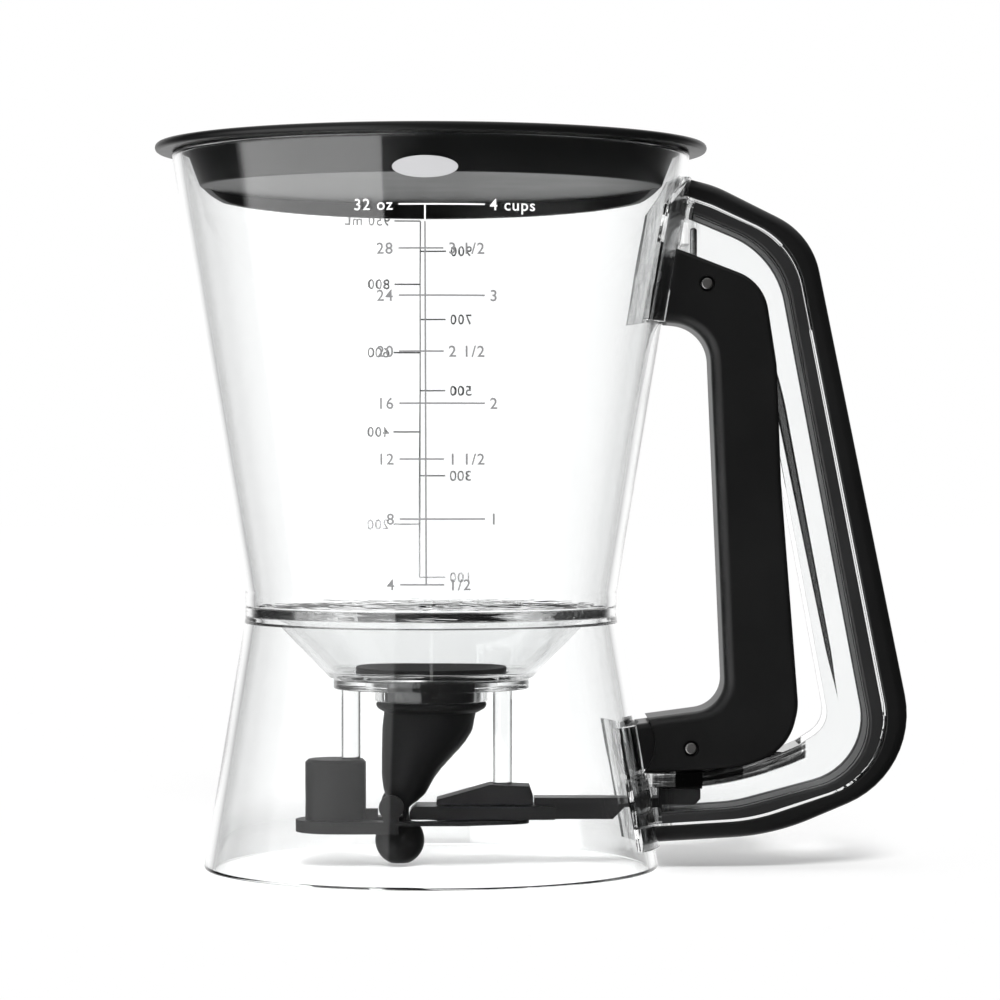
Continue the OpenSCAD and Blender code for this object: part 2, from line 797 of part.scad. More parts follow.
// Trigger core: a hard shell, open at the back, that straddles the side plates
module trigger_core() {
    color(black) difference() {
        sideways(core_w) trigger_outline(finger_t, 1);
        sideways(core_in) trigger_outline(finger_t + wall_t, -back_cut);
        jar_space(1.2);
        across(pivot_x, pivot_z, pin_r + run, core_w + 2);
        across(drive_x, drive_z, pin_r + fit / 2, core_w + 2);
    }
}

// Trigger grip: the soft skin over the core's sides and finger side
module trigger_grip() {
    color(soft_black) difference() {
        sideways(trigger_w) trigger_outline(0, 0);
        sideways(core_w) trigger_outline(finger_t, -back_cut);
        translate([0, -trigger_w, -past]) cube([drive_x - skin_end, 2 * trigger_w, pivot_z / 2]);
        jar_space(1.4);
        across(pivot_x, pivot_z, pin_r + 0.65, trigger_w + 2);
        across(drive_x, drive_z, pin_r + 0.65, trigger_w + 2);
    }
}

// Pivot pin: held in the side plates, the trigger turns on it
module pivot_pin() {
    color(steel) across(pivot_x, pivot_z, pin_r, trigger_w);
}

// Drive pin: held in the trigger's core, it pulls the bar's arm
module drive_pin() {
    color(steel) across(drive_x, drive_z, pin_r, trigger_w);
}

// Mean radius of the spring's coils, which lie loose round the pivot pin
function spring_r() = pin_r + 0.7 + wire_d / 2;

// Return spring: coils round the pivot pin, one leg up to the frame and one down in the trigger
module return_spring() {
    pitch = wire_d + 0.02;
    first = -(coils - 1) / 2 * pitch;
    color(steel) {
        for (i = [0 : coils - 1])
            translate([pivot_x, first + i * pitch, pivot_z]) rotate([90, 0, 0]) rotate_extrude($fn = 48)
                translate([spring_r(), 0]) circle(d = wire_d + 0.1, $fn = 24);
        translate([pivot_x - spring_r(), first, pivot_z]) cylinder(d = wire_d, h = upper_leg, $fn = 24);
        translate([pivot_x - spring_r(), first, pivot_z + upper_leg]) sphere(d = wire_d, $fn = 24);
        translate([pivot_x + spring_r(), -first, pivot_z]) rotate([0, 174.8, 0])
            cylinder(d = wire_d, h = lower_leg, $fn = 24);
    }
}

lid();
hopper();
base_skirt();
bowl();
valve();
carrier_plate();
pull_bar();
handle_frame();
handle_grip();
grip_liner();
trigger_core();
trigger_grip();
pivot_pin();
drive_pin();
return_spring();
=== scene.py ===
import math

import bmesh
import bpy
from mathutils import Matrix, Vector


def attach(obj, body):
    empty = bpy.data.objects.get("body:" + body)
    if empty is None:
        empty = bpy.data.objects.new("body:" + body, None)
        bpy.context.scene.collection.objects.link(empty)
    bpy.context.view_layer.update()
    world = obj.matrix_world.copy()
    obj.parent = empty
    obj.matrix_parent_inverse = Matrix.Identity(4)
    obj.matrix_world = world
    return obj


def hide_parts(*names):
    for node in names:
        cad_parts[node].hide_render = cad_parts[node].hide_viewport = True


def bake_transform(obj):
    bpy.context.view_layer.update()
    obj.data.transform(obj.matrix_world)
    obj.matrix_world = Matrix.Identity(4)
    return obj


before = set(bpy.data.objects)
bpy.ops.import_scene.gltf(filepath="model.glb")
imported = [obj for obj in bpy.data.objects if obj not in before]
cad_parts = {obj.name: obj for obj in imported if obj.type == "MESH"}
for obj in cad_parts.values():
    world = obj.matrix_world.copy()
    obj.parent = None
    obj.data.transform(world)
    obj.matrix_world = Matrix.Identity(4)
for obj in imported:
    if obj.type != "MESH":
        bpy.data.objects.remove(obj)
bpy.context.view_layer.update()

# ---------------------------------------------------------------------------------------------
# Lid. A black plug with a wide flange that rests loose on the hopper's rim, moulded in
# polypropylene with a fine satin grain and hollow from above. The rear half of the plug's edge
# has a lip that hangs down, and the lid lifts straight off by its flange.

MM = 0.001


class Wire:
    """A socket among a material's nodes. Python's operators on it add Math nodes."""

    def __init__(self, tree, socket=None):
        self.tree = tree
        self.socket = socket

    def node(self, kind, settings=None, sockets=None, output=0):
        """Adds a node, sets it up, then fills its sockets with values or with other wires."""
        made = self.tree.nodes.new("ShaderNode" + kind)
        for name, value in (settings or {}).items():
            setattr(made, name, value)
        for name, value in (sockets or {}).items():
            if isinstance(value, Wire):
                self.tree.links.new(value.socket, made.inputs[name])
            else:
                made.inputs[name].default_value = value
        return Wire(self.tree, made.outputs[output] if made.outputs else None)

    def math(self, operation, *values):
        return self.node("Math", {"operation": operation}, dict(enumerate(values)))

    def __add__(self, other):
        return self.math("ADD", self, other)

    def __radd__(self, other):
        return self.math("ADD", other, self)

    def __sub__(self, other):
        return self.math("SUBTRACT", self, other)

    def __rsub__(self, other):
        return self.math("SUBTRACT", other, self)

    def __mul__(self, other):
        return self.math("MULTIPLY", self, other)

    def __rmul__(self, other):
        return self.math("MULTIPLY", other, self)

    def step(self, low, high):
        """Goes smoothly from 0 at low to 1 at high."""
        return self.node(
            "MapRange",
            {"interpolation_type": "SMOOTHSTEP"},
            {"Value": self, "From Min": low, "From Max": high, "To Min": 0, "To Max": 1},
        )

    def noise(self, scale, detail):
        """Noise over this wire's place."""
        return self.node("TexNoise", {}, {"Vector": self, "Scale": scale, "Detail": detail})

    def along(self, axis):
        """The part of this wire's place or direction along X, Y or Z."""
        return self.node("SeparateXYZ", {}, {"Vector": self}, output=axis)

    def bump(self, depth, strength):
        """A surface's normals where this wire is its height, depth mm high at 1."""
        settings = {"Height": self, "Distance": depth * MM, "Strength": strength}
        return self.node("Bump", {}, settings)

    def tint(self, low, high):
        """A colour between two, by this wire from 0 to 1."""
        return self.node(
            "Mix",
            {"data_type": "RGBA"},
            {0: self, 6: (*low, 1), 7: (*high, 1)},
            output=2,
        )


def new_finish(name):
    """A new material, and the wire to begin its nodes with."""
    material = bpy.data.materials.new(name)
    material.use_nodes = True
    material.node_tree.nodes.clear()
    return material, Wire(material.node_tree)


def moulded(name, dark, light, roughness, grain, depth, gloss=0.3):
    """An opaque moulded finish. grain is the texture's size and depth its height, in mm."""
    material, nodes = new_finish(name)
    place = nodes.node("TexCoord", output="Object")
    flow = place.noise(45, 3)
    grit = place.noise(1 / (grain * MM), 3)
    pits = nodes.node(
        "TexVoronoi", {"feature": "SMOOTH_F1"}, {"Vector": place, "Scale": 0.6 / (grain * MM)}
    )
    shader = nodes.node(
        "BsdfPrincipled",
        {},
        {
            "Base Color": (flow * 0.7 + grit * 0.3).step(0.3, 0.7).tint(dark, light),
            "Roughness": flow * 0.10 + grit * 0.08 + (roughness - 0.09),
            "Normal": (grit * 0.6 + pits * 0.4).bump(depth, 0.8),
            "IOR": 1.5,
            "Specular IOR Level": gloss,
        },
    )
    nodes.node("OutputMaterial", sockets={"Surface": shader})
    return material


def rounded(mesh, geom, back, segments, affect, clamp=False):
    """Rounds corners or edges, cut back by that distance in the mesh's own units."""
    bmesh.ops.bevel(
        mesh,
        geom=geom,
        offset=back,
        segments=segments,
        profile=0.5,
        affect=affect,
        material=-1,
        clamp_overlap=clamp,
    )


def turned(outline, steps):
    """A turned shape. Each point is a radius, a height and how far its corner is cut, in mm."""
    mesh = bmesh.new()
    corners = [mesh.verts.new((radius * MM, 0, height * MM)) for radius, height, _ in outline]
    mesh.faces.new(corners)
    for cut in sorted({point[2] for point in outline if point[2]}):
        chosen = [v for v, point in zip(corners, outline) if point[2] == cut]
        rounded(mesh, chosen, cut * MM, 4, "VERTICES")
    bmesh.ops.delete(mesh, geom=mesh.faces[:], context="FACES_ONLY")
    on_axis = [e for e in mesh.edges if all(v.co.x < 0.001 * MM for v in e.verts)]
    bmesh.ops.delete(mesh, geom=on_axis, context="EDGES")
    bmesh.ops.spin(
        mesh,
        geom=mesh.verts[:] + mesh.edges[:],
        cent=(0, 0, 0),
        axis=(0, 0, 1),
        angle=math.tau,
        steps=steps,
        use_merge=True,
    )
    tidied(mesh)
    return mesh


def tidied(mesh):
    """Joins points that coincide and turns all faces outwards."""
    bmesh.ops.remove_doubles(mesh, verts=mesh.verts, dist=0.001 * MM)
    bmesh.ops.recalc_face_normals(mesh, faces=mesh.faces)


def piece(name, mesh, finish, body, node=None, crease=38):
    """Makes a mesh the piece of that name, in its place on a body, instead of a CAD node."""
    shape = bpy.data.meshes.new(name)
    mesh.to_mesh(shape)
    mesh.free()
    shape.shade_smooth()
    shape.set_sharp_from_angle(angle=math.radians(crease))
    shape.materials.append(finish)
    made = bpy.data.objects.new(name, shape)
    bpy.context.scene.collection.objects.link(made)
    normals = made.modifiers.new("even faces", "WEIGHTED_NORMAL")
    normals.keep_sharp = True
    normals.weight = 100
    if node:
        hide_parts(node)
    if body:
        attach(made, body)
    return made


def merged(mesh, other):
    """Adds another mesh's shape to this one, and frees the other."""
    carrier = bpy.data.meshes.new("carrier")
    other.to_mesh(carrier)
    other.free()
    mesh.from_mesh(carrier)
    bpy.data.meshes.remove(carrier)
    return mesh


lid_flange_r, lid_under, lid_top = 71.5, 185.2, 187.4
plug_low, plug_low_r, plug_top_r, lid_wall = 176.1, 59.8, 63.2, 2.2
lip_h, lip_set_in, lip_overlap, lip_round = 4, 0.25, 0.4, 0.5
# The lip begins at lip_start_y, and at knee_y it hangs down by knee_share of its height
lip_start_y, knee_y, knee_share, least_share = 1.5, 20, 0.64, 0.02

lid_shape = turned(
    [
        (0, plug_low, 0),
        (plug_low_r, plug_low, 0.5),
        (plug_top_r, lid_under, 0.6),
        (lid_flange_r, lid_under, 1.05),
        (lid_flange_r, lid_top, 1.05),
        (plug_top_r - lid_wall, lid_top, 0.7),
        (plug_low_r - lid_wall, plug_low + lid_wall, 1.2),
        (0, plug_low + lid_wall, 0),
    ],
    steps=192,
)

# The lip is a half ring that runs out to nothing at both ends
lip_shape = bmesh.new()
for radius in (plug_low_r - lid_wall, plug_low_r - lip_set_in):
    for height in (plug_low + lip_overlap, plug_low - lip_h):
        lip_shape.verts.new((radius * MM, 0, height * MM))
lip_shape.verts.ensure_lookup_table()
inner_top, inner_low, outer_top, outer_low = lip_shape.verts
lip_shape.faces.new((inner_top, inner_low, outer_low, outer_top))
rounded(lip_shape, [inner_low, outer_low], lip_round * MM, 3, "VERTICES")
bmesh.ops.spin(
    lip_shape,
    geom=lip_shape.faces[:] + lip_shape.edges[:] + lip_shape.verts[:],
    cent=(0, 0, 0),
    axis=(0, 0, 1),
    angle=math.pi,
    steps=96,
    use_duplicate=False,
)
for vert in lip_shape.verts:
    back = vert.co.y / MM
    if back < knee_y:
        hang = max(0.0, knee_share * (back - lip_start_y) / (knee_y - lip_start_y))
    else:
        hang = knee_share + (1 - knee_share) * (back - knee_y) / (plug_low_r - knee_y)
    below = plug_low * MM - vert.co.z
    if below > 0:
        vert.co.z = plug_low * MM - below * max(hang, least_share)
tidied(lip_shape)

satin_black = moulded(
    "satin black plastic", (0.0036, 0.0036, 0.0037), (0.0048, 0.0048, 0.0050), 0.36, 0.35, 0.006
)
piece("lid_plug", merged(lid_shape, lip_shape), satin_black, "cover", "lid")

# ---------------------------------------------------------------------------------------------
# Hopper. A clear cone of even wall, injection moulded in acrylic-clear plastic with a polished
# surface. Its short straight neck stands in the waist band on top of the base skirt.

waist_r, seat_z, neck_z, rim_r, rim_z, wall = 48.2, 67.8, 71.3, 67.2, 184.9, 2.5
# How far above and below the seam its waves reach, and where the surface is even again
wavy_to, even_from = 3.2, 4.4


def clear_plastic(name, colour, flow_depth, darkening=None):
    """Clear moulded plastic. It lets the light through, so its shadow is only faint.

    Near the waist's seam the surface is wavy. The last argument gives where the colour is painted
    darker.
    """
    material, nodes = new_finish(name)
    place = nodes.node("TexCoord", output="Object")
    flow = place.noise(28, 2)
    polish = place.noise(160, 2)
    level = nodes.node("Mapping", {}, {"Vector": place, "Scale": (0.3, 0.3, 4)})
    front = 1 - place.along("Y").step(0, 0.01)
    from_seam = nodes.math("ABSOLUTE", place.along("Z") - seat_z * MM)
    waves = level.noise(250, 2) * (1 - from_seam.step(wavy_to * MM, even_from * MM)) * front * 0.4
    tone = flow.step(0.35, 0.65).tint([0.985 * c for c in colour], colour)
    if darkening:
        tone = nodes.node(
            "Mix",
            {"data_type": "RGBA", "blend_type": "MULTIPLY"},
            {0: 1.0, 6: tone, 7: darkening(nodes, place)},
            output=2,
        )
    body = nodes.node(
        "BsdfPrincipled",
        {},
        {
            "Base Color": tone,
            "Roughness": polish.step(0.3, 0.8) * 0.012,
            "Normal": (flow + waves).bump(flow_depth, 0.5),
            "IOR": 1.49,
            "Transmission Weight": 1.0,
        },
    )
    shader = nodes.node(
        "MixShader",
        {},
        {
            0: nodes.node("LightPath", output="Is Shadow Ray"),
            1: body,
            2: nodes.node("BsdfTransparent", {}, {"Color": (0.95, 0.95, 0.95, 1)}),
        },
    )
    nodes.node("OutputMaterial", sockets={"Surface": shader})
    return material


clear = clear_plastic("clear plastic", (0.975, 0.98, 0.98), 0.12)

piece(
    "hopper_shell",
    turned(
        [
            (waist_r, seat_z, 0.3),
            (waist_r, neck_z, 0.5),
            (rim_r, rim_z, 0.7),
            (rim_r - wall, rim_z, 0.7),
            (waist_r - wall, neck_z, 0.5),
            (waist_r - wall, seat_z, 0.3),
        ],
        steps=192,
    ),
    clear,
    "jar",
    "hopper",
)

# ---------------------------------------------------------------------------------------------
# Measuring scales. Two scales are pad printed on the outside of the hopper in one thin coat of
# ink: ounces and cups down the front, millilitres down the back. An oval badge sits on the front
# just under the rim, and it is left plain.

# The ink's thickness, and a capital's height as a share of the font's size
INK = 0.03
CAPITAL_H = 0.70


def hopper_r(z):
    """The hopper's outer radius at height z."""
    return waist_r + (rim_r - waist_r) * (z - neck_z) / (rim_z - neck_z)


def bar_on(sheet, x0, x1, z0, z1):
    """A straight bar of ink on the flat sheet."""
    made = bmesh.ops.create_cube(sheet, size=1)["verts"]
    size = (x1 - x0, z1 - z0, INK)
    bmesh.ops.scale(sheet, vec=size, verts=made)
    bmesh.ops.translate(sheet, vec=((x0 + x1) / 2, (z0 + z1) / 2, 0), verts=made)


def words_on(sheet, text, x, z, height, ends_at_x):
    """Words on the flat sheet, level with z, that end or begin at x."""
    curve = bpy.data.curves.new("words", "FONT")
    curve.body = text
    curve.size = height / CAPITAL_H
    curve.space_character = 1.12
    curve.offset = 0.035
    curve.extrude = INK / 2
    curve.resolution_u = 5
    curve.align_x = "RIGHT" if ends_at_x else "LEFT"
    holder = bpy.data.objects.new("words", curve)
    bpy.context.scene.collection.objects.link(holder)
    seen = holder.evaluated_get(bpy.context.evaluated_depsgraph_get())
    flat = bpy.data.meshes.new_from_object(seen)
    flat.transform(Matrix.Translation((x, z - height / 2, 0)))
    sheet.from_mesh(flat)
    bpy.data.objects.remove(holder)
    bpy.data.curves.remove(curve)
    bpy.data.meshes.remove(flat)


def wrapped(sheet, side):
    """Lays the flat sheet on the hopper: on its front where side is -1, on its back where 1."""
    clearance, slice_w = 0.01, 2
    reach = int(max(abs(v.co.x) for v in sheet.verts) / slice_w)
    for i in range(-reach, reach + 1):
        bmesh.ops.bisect_plane(
            sheet,
            geom=sheet.verts[:] + sheet.edges[:] + sheet.faces[:],
            plane_co=(slice_w * i, 0, 0),
            plane_no=(1, 0, 0),
        )
    for vert in sheet.verts:
        x, z, depth = vert.co
        radius = hopper_r(z) + depth + INK / 2 + clearance
        turn = math.asin(x / radius)
        vert.co = (
            -side * radius * math.sin(turn) * MM,
            side * radius * math.cos(turn) * MM,
            z * MM,
        )
    tidied(sheet)
    return sheet


def grown(mesh, faces, way):
    """Pulls flat faces out into a solid."""
    pulled = bmesh.ops.extrude_face_region(mesh, geom=faces)["geom"]
    verts = [v for v in pulled if isinstance(v, bmesh.types.BMVert)]
    bmesh.ops.translate(mesh, vec=way, verts=verts)


def ink_with_painted_shade(name, low, high, edge):
    """Light printed ink that is painted dark grey below a height, as painted shade."""
    material, nodes = new_finish(name)
    place = nodes.node("TexCoord", output="Object")
    spread = place.noise(2500, 2)
    shader = nodes.node(
        "BsdfPrincipled",
        {},
        {
            "Base Color": place.along("Z").step(edge * MM, (edge + 0.3) * MM).tint(low, high),
            "Roughness": spread * 0.2 + 0.4,
            "Normal": spread.bump(0.004, 0.5),
        },
    )
    nodes.node("OutputMaterial", sockets={"Surface": shader})
    return material


line_w = 0.38
digit_h = 2.7
front_marks = [
    (167.8, "32 oz", "4 cups"),
    (157.2, "28", "3 1/2"),
    (145.8, "24", "3"),
    (132.2, "20", "2 1/2"),
    (119.5, "16", "2"),
    (105.8, "12", "1 1/2"),
    (91.0, "8", "1"),
    (74.7, "4", "1/2"),
]
scale_x, long_x, short_x, left_x = -0.35, 14.2, 4.1, -6.8
left_gap, right_gap = 1.4, 1.2


def upright_on(sheet, x, marks):
    """The scale's upright line from its lowest mark to its highest."""
    bar_on(sheet, x - line_w / 2, x + line_w / 2, marks[-1][0], marks[0][0])


front_sheet = bmesh.new()
upright_on(front_sheet, scale_x, front_marks)
for i, (z, ounces, cups) in enumerate(front_marks):
    end_x = short_x if i % 2 else long_x
    bar_on(front_sheet, left_x, end_x, z - line_w / 2, z + line_w / 2)
    words_on(front_sheet, ounces, left_x - left_gap, z, digit_h, True)
    words_on(front_sheet, cups, end_x + right_gap, z, digit_h, False)

# Painted shade: below a height of 163.5 mm the light ink is painted dark grey
ink = ink_with_painted_shade("grey ink", (0.20, 0.20, 0.205), (0.86, 0.86, 0.86), 163.5)
piece("scale_front", wrapped(front_sheet, -1), ink, "jar", crease=20)

back_marks = [
    (171.8, "950 mL"),
    (163.4, "900"),
    (154.2, "800"),
    (144.5, "700"),
    (135.3, "600"),
    (124.8, "500"),
    (113.5, "400"),
    (101.5, "300"),
    (88.3, "200"),
    (73.9, "100"),
]
back_x, back_reach = 4.1, 7.3
back_sheet = bmesh.new()
upright_on(back_sheet, back_x, back_marks)
for i, (z, amount) in enumerate(back_marks):
    to_left = i % 2 == 1
    end_x = back_x - back_reach if to_left else back_x + back_reach
    bar_on(back_sheet, min(back_x, end_x), max(back_x, end_x), z - line_w / 2, z + line_w / 2)
    words_x = end_x - right_gap if to_left else end_x + right_gap
    words_on(back_sheet, amount, words_x, z, digit_h, to_left)
piece("scale_back", wrapped(back_sheet, 1), ink, "jar", crease=20)

badge_half_w, badge_half_h, badge_t, badge_round = 8.05, 2.68, 0.3, 0.12
badge_x, badge_z = -0.3, 176.8
badge_sheet = bmesh.new()
bmesh.ops.create_circle(badge_sheet, segments=72, radius=1, cap_ends=True)
bmesh.ops.scale(badge_sheet, vec=(badge_half_w, badge_half_h, 1), verts=badge_sheet.verts)
grown(badge_sheet, badge_sheet.faces[:], (0, 0, badge_t))
badge_rim = [e for e in badge_sheet.edges if all(v.co.z > badge_t / 2 for v in e.verts)]
rounded(badge_sheet, badge_rim, badge_round, 2, "EDGES")
bmesh.ops.translate(badge_sheet, vec=(badge_x, badge_z, 0), verts=badge_sheet.verts)
badge_grey = moulded("badge grey", (0.44, 0.44, 0.45), (0.47, 0.47, 0.48), 0.35, 0.2, 0.003)
piece("badge", wrapped(badge_sheet, -1), badge_grey, "jar", crease=30)

# ---------------------------------------------------------------------------------------------
# Base skirt. A second clear cone, widest at the foot, that the dispenser stands on. A ledge
# inside its top carries the bowl's flange, and a window low on the handle's side lets the pull
# bar through.

foot_r, waist_z, flange_r, ledge_z, ledge_w, ledge_t = 59, 65, 46.6, 65.2, 2.6, 1.8
window_half, window_low, window_high, window_from, window_to = 5, 12.4, 18.5, 46, 64
# The gap between parts that fit into each other
fit = 0.05


def skirt_r(z):
    """The skirt's outer radius at height z."""
    return foot_r + (waist_r - foot_r) * z / waist_z


def block(x0, x1, y0, y1, z0, z1):
    """A plain block between those limits in mm, to cut or to join."""
    limits = ((x0, x1), (y0, y1), (z0, z1))
    mesh = bmesh.new()
    bmesh.ops.create_cube(mesh, size=1)
    bmesh.ops.scale(mesh, vec=[(b - a) * MM for a, b in limits], verts=mesh.verts)
    bmesh.ops.translate(mesh, vec=[(a + b) / 2 * MM for a, b in limits], verts=mesh.verts)
    return mesh


def combined(mesh, operation, *others):
    """Cuts the others out of the mesh, or joins them to it."""
    shape = bpy.data.meshes.new("worked")
    mesh.to_mesh(shape)
    mesh.free()
    work = bpy.data.objects.new("worked", shape)
    bpy.context.scene.collection.objects.link(work)
    for other in others:
        tool_shape = bpy.data.meshes.new("tool")
        other.to_mesh(tool_shape)
        other.free()
        tool = bpy.data.objects.new("tool", tool_shape)
        bpy.context.scene.collection.objects.link(tool)
        step = work.modifiers.new("step", "BOOLEAN")
        step.operation = operation
        step.solver = "EXACT"
        step.object = tool
        seen = work.evaluated_get(bpy.context.evaluated_depsgraph_get())
        result = bpy.data.meshes.new_from_object(seen)
        work.modifiers.clear()
        work.data = result
        bpy.data.objects.remove(tool)
    done = bmesh.new()
    done.from_mesh(work.data)
    bpy.data.objects.remove(work)
    bmesh.ops.remove_doubles(done, verts=done.verts, dist=0.001 * MM)
    return done


skirt_profile = turned(
    [
        (foot_r - wall, 0, 0.7),
        (foot_r, 0, 0.7),
        (waist_r, waist_z, 0.6),
        (waist_r, seat_z, 0.3),
        (flange_r + fit, seat_z, 0.2),
        (flange_r + fit, ledge_z, 0.15),
        (flange_r - ledge_w, ledge_z, 0.3),
        (flange_r - ledge_w, ledge_z - ledge_t, 0.3),
        (skirt_r(ledge_z - ledge_t) - wall, ledge_z - ledge_t, 0.3),
    ],
    steps=192,
)
window = block(window_from, window_to, -window_half, window_half, window_low, window_high)
piece(
    "skirt_shell",
    combined(skirt_profile, "DIFFERENCE", window),
    clear,
    "jar",
    "base_skirt",
)

# ---------------------------------------------------------------------------------------------
# Bowl. The clear floor of the jar: a flange that lies on the skirt's ledge, a steep cone, a flat
# disc with a collar round the outlet, and two round posts under it that carry the valve plate.
# It is one clear moulding that lifts out for washing.

bowl_slope, bowl_wall = math.radians(46), 2.2
bowl_floor_z, disc_z, collar_z, floor_r, collar_r = 49.2, 46.4, 43.0, 25.4, 14.6
bowl_top_r = flange_r - ledge_w - bowl_wall
bowl_shift = bowl_wall / math.sin(bowl_slope)
# The valve's flange lies in a shallow well in the bowl's disc
neck_r, valve_flange_r, well_r = 11.5, 19.6, 20.3
well_z, inside_z = disc_z + bowl_wall, bowl_floor_z + 2
left_post_x, right_post_x, post_r = -20.9, 18.5, 2.45
left_post_z, right_post_z, post_overlap = 22.0, 19.0, 0.7


def bowl_out(z):
    """The outer radius of the bowl's cone at height z."""
    return bowl_top_r - (ledge_z - z) / math.tan(bowl_slope)


bowl_shape = turned(
    [
        (flange_r, ledge_z, 0.2),
        (bowl_top_r, ledge_z, 1.0),
        (bowl_out(bowl_floor_z), bowl_floor_z, 0.4),
        (floor_r, bowl_floor_z, 0.5),
        (floor_r, disc_z, 0.3),
        (collar_r, disc_z, 0.3),
        (collar_r, collar_z, 0.4),
        (neck_r + fit, collar_z, 0.3),
        (neck_r + fit, well_z, 0.3),
        (well_r, well_z, 0.3),
        (well_r, inside_z, 0.4),
        (bowl_out(inside_z) - bowl_shift, inside_z, 1.0),
        (bowl_out(seat_z) - bowl_shift, seat_z, 0.4),
        (flange_r, seat_z, 0.2),
    ],
    steps=160,
)


def rod(x, z0, z1, radius):
    """An upright rod in mm with a rounded lower edge."""
    mesh = turned([(0, z0, 0), (radius, z0, 0.4), (radius, z1, 0), (0, z1, 0)], steps=48)
    bmesh.ops.translate(mesh, vec=(x * MM, 0, 0), verts=mesh.verts)
    return mesh


piece(
    "bowl_shell",
    combined(
        bowl_shape,
        "UNION",
        rod(left_post_x, left_post_z, disc_z + post_overlap, post_r),
        rod(right_post_x, right_post_z, disc_z + post_overlap, post_r),
    ),
    clear,
    "jar",
    "bowl",
)

# ---------------------------------------------------------------------------------------------
# Valve. One black silicone moulding: a flange that lies in the bowl, a neck through the outlet
# with a bead under the collar, a slanting bag that the pull bar's blade pinches flat, and a
# round end with the outlet hole.

bead_z, valve_wall, bulb_r, bulb_x, bulb_low, hole_r = 40.2, 1.6, 6.4, -8.2, 0.9, 2.2
flange_low, flange_high, neck_top = well_z + fit, disc_z + 6.2, disc_z + 3.2
bead_top, bead_low, bead_low_r = collar_z - fit, bead_z - 0.1, 12.0

valve_top = turned(
    [
        (neck_r, flange_low, 0.3),
        (neck_r, bead_top, 0.2),
        (collar_r, bead_top, 1.1),
        (collar_r - 0.5, bead_z + 1.1, 0.6),
        (bead_low_r, bead_low, 0.3),
        (neck_r - valve_wall, bead_low, 0.3),
        (neck_r - valve_wall, neck_top, 0.8),
        (valve_flange_r - 1.0, flange_high, 0.5),
        (valve_flange_r, flange_high, 0.4),
        (valve_flange_r, flange_low, 0.4),
    ],
    steps=96,
)

# Height, left, right and half depth of the bag's outside
bag_rows = [
    (40.2, -12.3, 11.6, 11.9),
    (38.8, -12.45, 11.3, 11.85),
    (35.8, -12.75, 10.7, 11.7),
    (32.2, -12.85, 8.6, 11.2),
    (28.4, -12.9, 5.2, 10.5),
    (24.5, -12.9, 1.8, 9.8),
    (21.4, -12.6, -0.2, 9.1),
    (19.3, -12.1, -1.3, 8.4),
    (17.4, -10.7, -3.2, 7.4),
    (15.9, -8.4, -5.2, 6.9),
    (15.2, -7.6, -5.8, 6.7),
    (14.2, -7.6, -5.8, 6.7),
    (13.1, -7.6, -5.8, 6.7),
    (12.1, -9.6, -5.4, 5.6),
    (10.9, -12.2, -4.2, 4.2),
]


def finer(rows, parts):
    """Rows between the given ones on smooth curves that don't overshoot."""
    slopes = []
    for i, row in enumerate(rows):
        before, after = rows[max(i - 1, 0)], rows[min(i + 1, len(rows) - 1)]
        slope = []
        for k in range(1, len(row)):
            down = (row[k] - before[k]) / (row[0] - before[0]) if i else None
            up = (after[k] - row[k]) / (after[0] - row[0]) if i < len(rows) - 1 else None
            if down is None or up is None:
                slope.append(up if down is None else down)
            elif down * up <= 0:
                slope.append(0.0)
            else:
                slope.append(2 * down * up / (down + up))
        slopes.append(slope)
    out = []
    for one, slope_one, two, slope_two in zip(rows, slopes, rows[1:], slopes[1:]):
        span = two[0] - one[0]
        for part in range(parts):
            t = part / parts
            new = [one[0] + span * t]
            for k in range(1, len(one)):
                new.append(
                    (2 * t**3 - 3 * t**2 + 1) * one[k]
                    + (t**3 - 2 * t**2 + t) * span * slope_one[k - 1]
                    + (3 * t**2 - 2 * t**3) * two[k]
                    + (t**3 - t**2) * span * slope_two[k - 1]
                )
            out.append(new)
    out.append(list(rows[-1]))
    return out


def ring(mesh, z, left, right, half):
    """A ring of the bag at height z, as its edges."""
    verts = bmesh.ops.create_circle(mesh, segments=64, radius=1)["verts"]
    bmesh.ops.scale(mesh, vec=((right - left) / 2 * MM, half * MM, 1), verts=verts)
    bmesh.ops.translate(mesh, vec=((left + right) / 2 * MM, 0, z * MM), verts=verts)
    return list({e for v in verts for e in v.link_edges})


bag_floor_z = 24.6
bag_outside = finer(bag_rows, 4)
bag_inside = [
    (z, left + valve_wall, right - valve_wall, half - valve_wall)
    for z, left, right, half in bag_outside
    if bag_floor_z <= z
]
bag = bmesh.new()
rings = [ring(bag, *row) for row in bag_inside[::-1] + bag_outside]
for upper, lower in zip(rings, rings[1:]):
    bmesh.ops.bridge_loops(bag, edges=upper + lower)
bmesh.ops.holes_fill(bag, edges=rings[0] + rings[-1], sides=0)

# The round end is a ball that is cut flat above, with a hole up to its middle
bulb_mid = bulb_low + math.sqrt(bulb_r**2 - hole_r**2)
bulb_top, bulb_steps = 0.75, 16
bulb_outline = [(hole_r, bulb_mid, 0.4)]
low, high = -math.acos(hole_r / bulb_r), math.asin(bulb_top)
edge_cuts = {0: 0.35, bulb_steps: 0.45}
for i in range(bulb_steps + 1):
    at = low + (high - low) * i / bulb_steps
    height = bulb_mid + bulb_r * math.sin(at)
    bulb_outline.append((bulb_r * math.cos(at), height, edge_cuts.get(i, 0)))
bulb_outline += [(0, bulb_mid + bulb_top * bulb_r, 0), (0, bulb_mid, 0)]
bulb = turned(bulb_outline, steps=64)
bmesh.ops.translate(bulb, vec=(bulb_x * MM, 0, 0), verts=bulb.verts)
valve_shape = merged(merged(bag, bulb), valve_top)
tidied(valve_shape)

